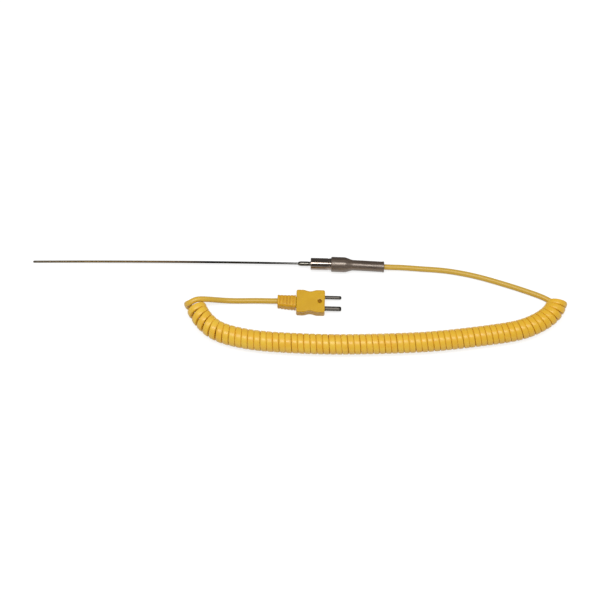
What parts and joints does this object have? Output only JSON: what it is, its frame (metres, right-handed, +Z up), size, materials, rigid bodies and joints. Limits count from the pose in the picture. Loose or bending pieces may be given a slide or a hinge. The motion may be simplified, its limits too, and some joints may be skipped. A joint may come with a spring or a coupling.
{
  "type": "thermocouple probe",
  "caption": "Thin metal-sheathed temperature needle with a stubby barrel, a dark strain relief, a yellow curly lead and a miniature flat-pin plug.",
  "frame": {"origin": "on the table, under the middle of the rigid probe (needle tip to end of strain relief), which lies along X with its axis over y = 0", "axes": "+X along the probe from needle tip to cable exit, +Z up from the table, the curly cord and plug lie on the -Y side"},
  "size_m": [0.3608, 0.0694, 0.0136],
  "materials": {
    "sheath_metal": "drawn alloy tube with a warm heat tint",
    "barrel_metal": "polished turned steel",
    "oxide_powder": "packed white oxide",
    "element_wire": "bare nickel alloy wire",
    "resin": "cast black resin",
    "tinned_copper": "tinned",
    "yellow_core": "extruded insulation",
    "red_core": "extruded insulation",
    "dark_sleeve": "satin shrink sleeve",
    "yellow_jacket": "semi-gloss extruded jacket",
    "yellow_boot": "satin moulded",
    "plug_body": "semi-gloss moulded thermoplastic",
    "pin_metal": "stamped thermocouple alloy, slightly dull",
    "screw_metal": "passivated steel"
  },
  "bodies": {
    "root": {"sheath": "sheath_metal", "insulation_core": "oxide_powder", "positive_element": "element_wire", "negative_element": "element_wire", "measuring_junction": "element_wire", "nose_ferrule": "barrel_metal", "barrel": "barrel_metal", "potting": "resin", "positive_splice": "tinned_copper", "negative_splice": "tinned_copper", "positive_core": "yellow_core", "negative_core": "red_core", "strain_relief": "dark_sleeve", "lead_to_coil": "yellow_jacket", "curly_cord": "yellow_jacket", "lead_to_plug": "yellow_jacket", "boot": "yellow_boot", "plug_base": "plug_body", "plug_cover": "plug_body", "cover_screw": "screw_metal", "positive_pin": "pin_metal", "negative_pin": "pin_metal", "positive_terminal_screw": "screw_metal", "negative_terminal_screw": "screw_metal", "positive_terminal_plate": "tinned_copper", "negative_terminal_plate": "tinned_copper", "positive_tail": "yellow_core", "negative_tail": "red_core"}
  },
  "joints": []
}
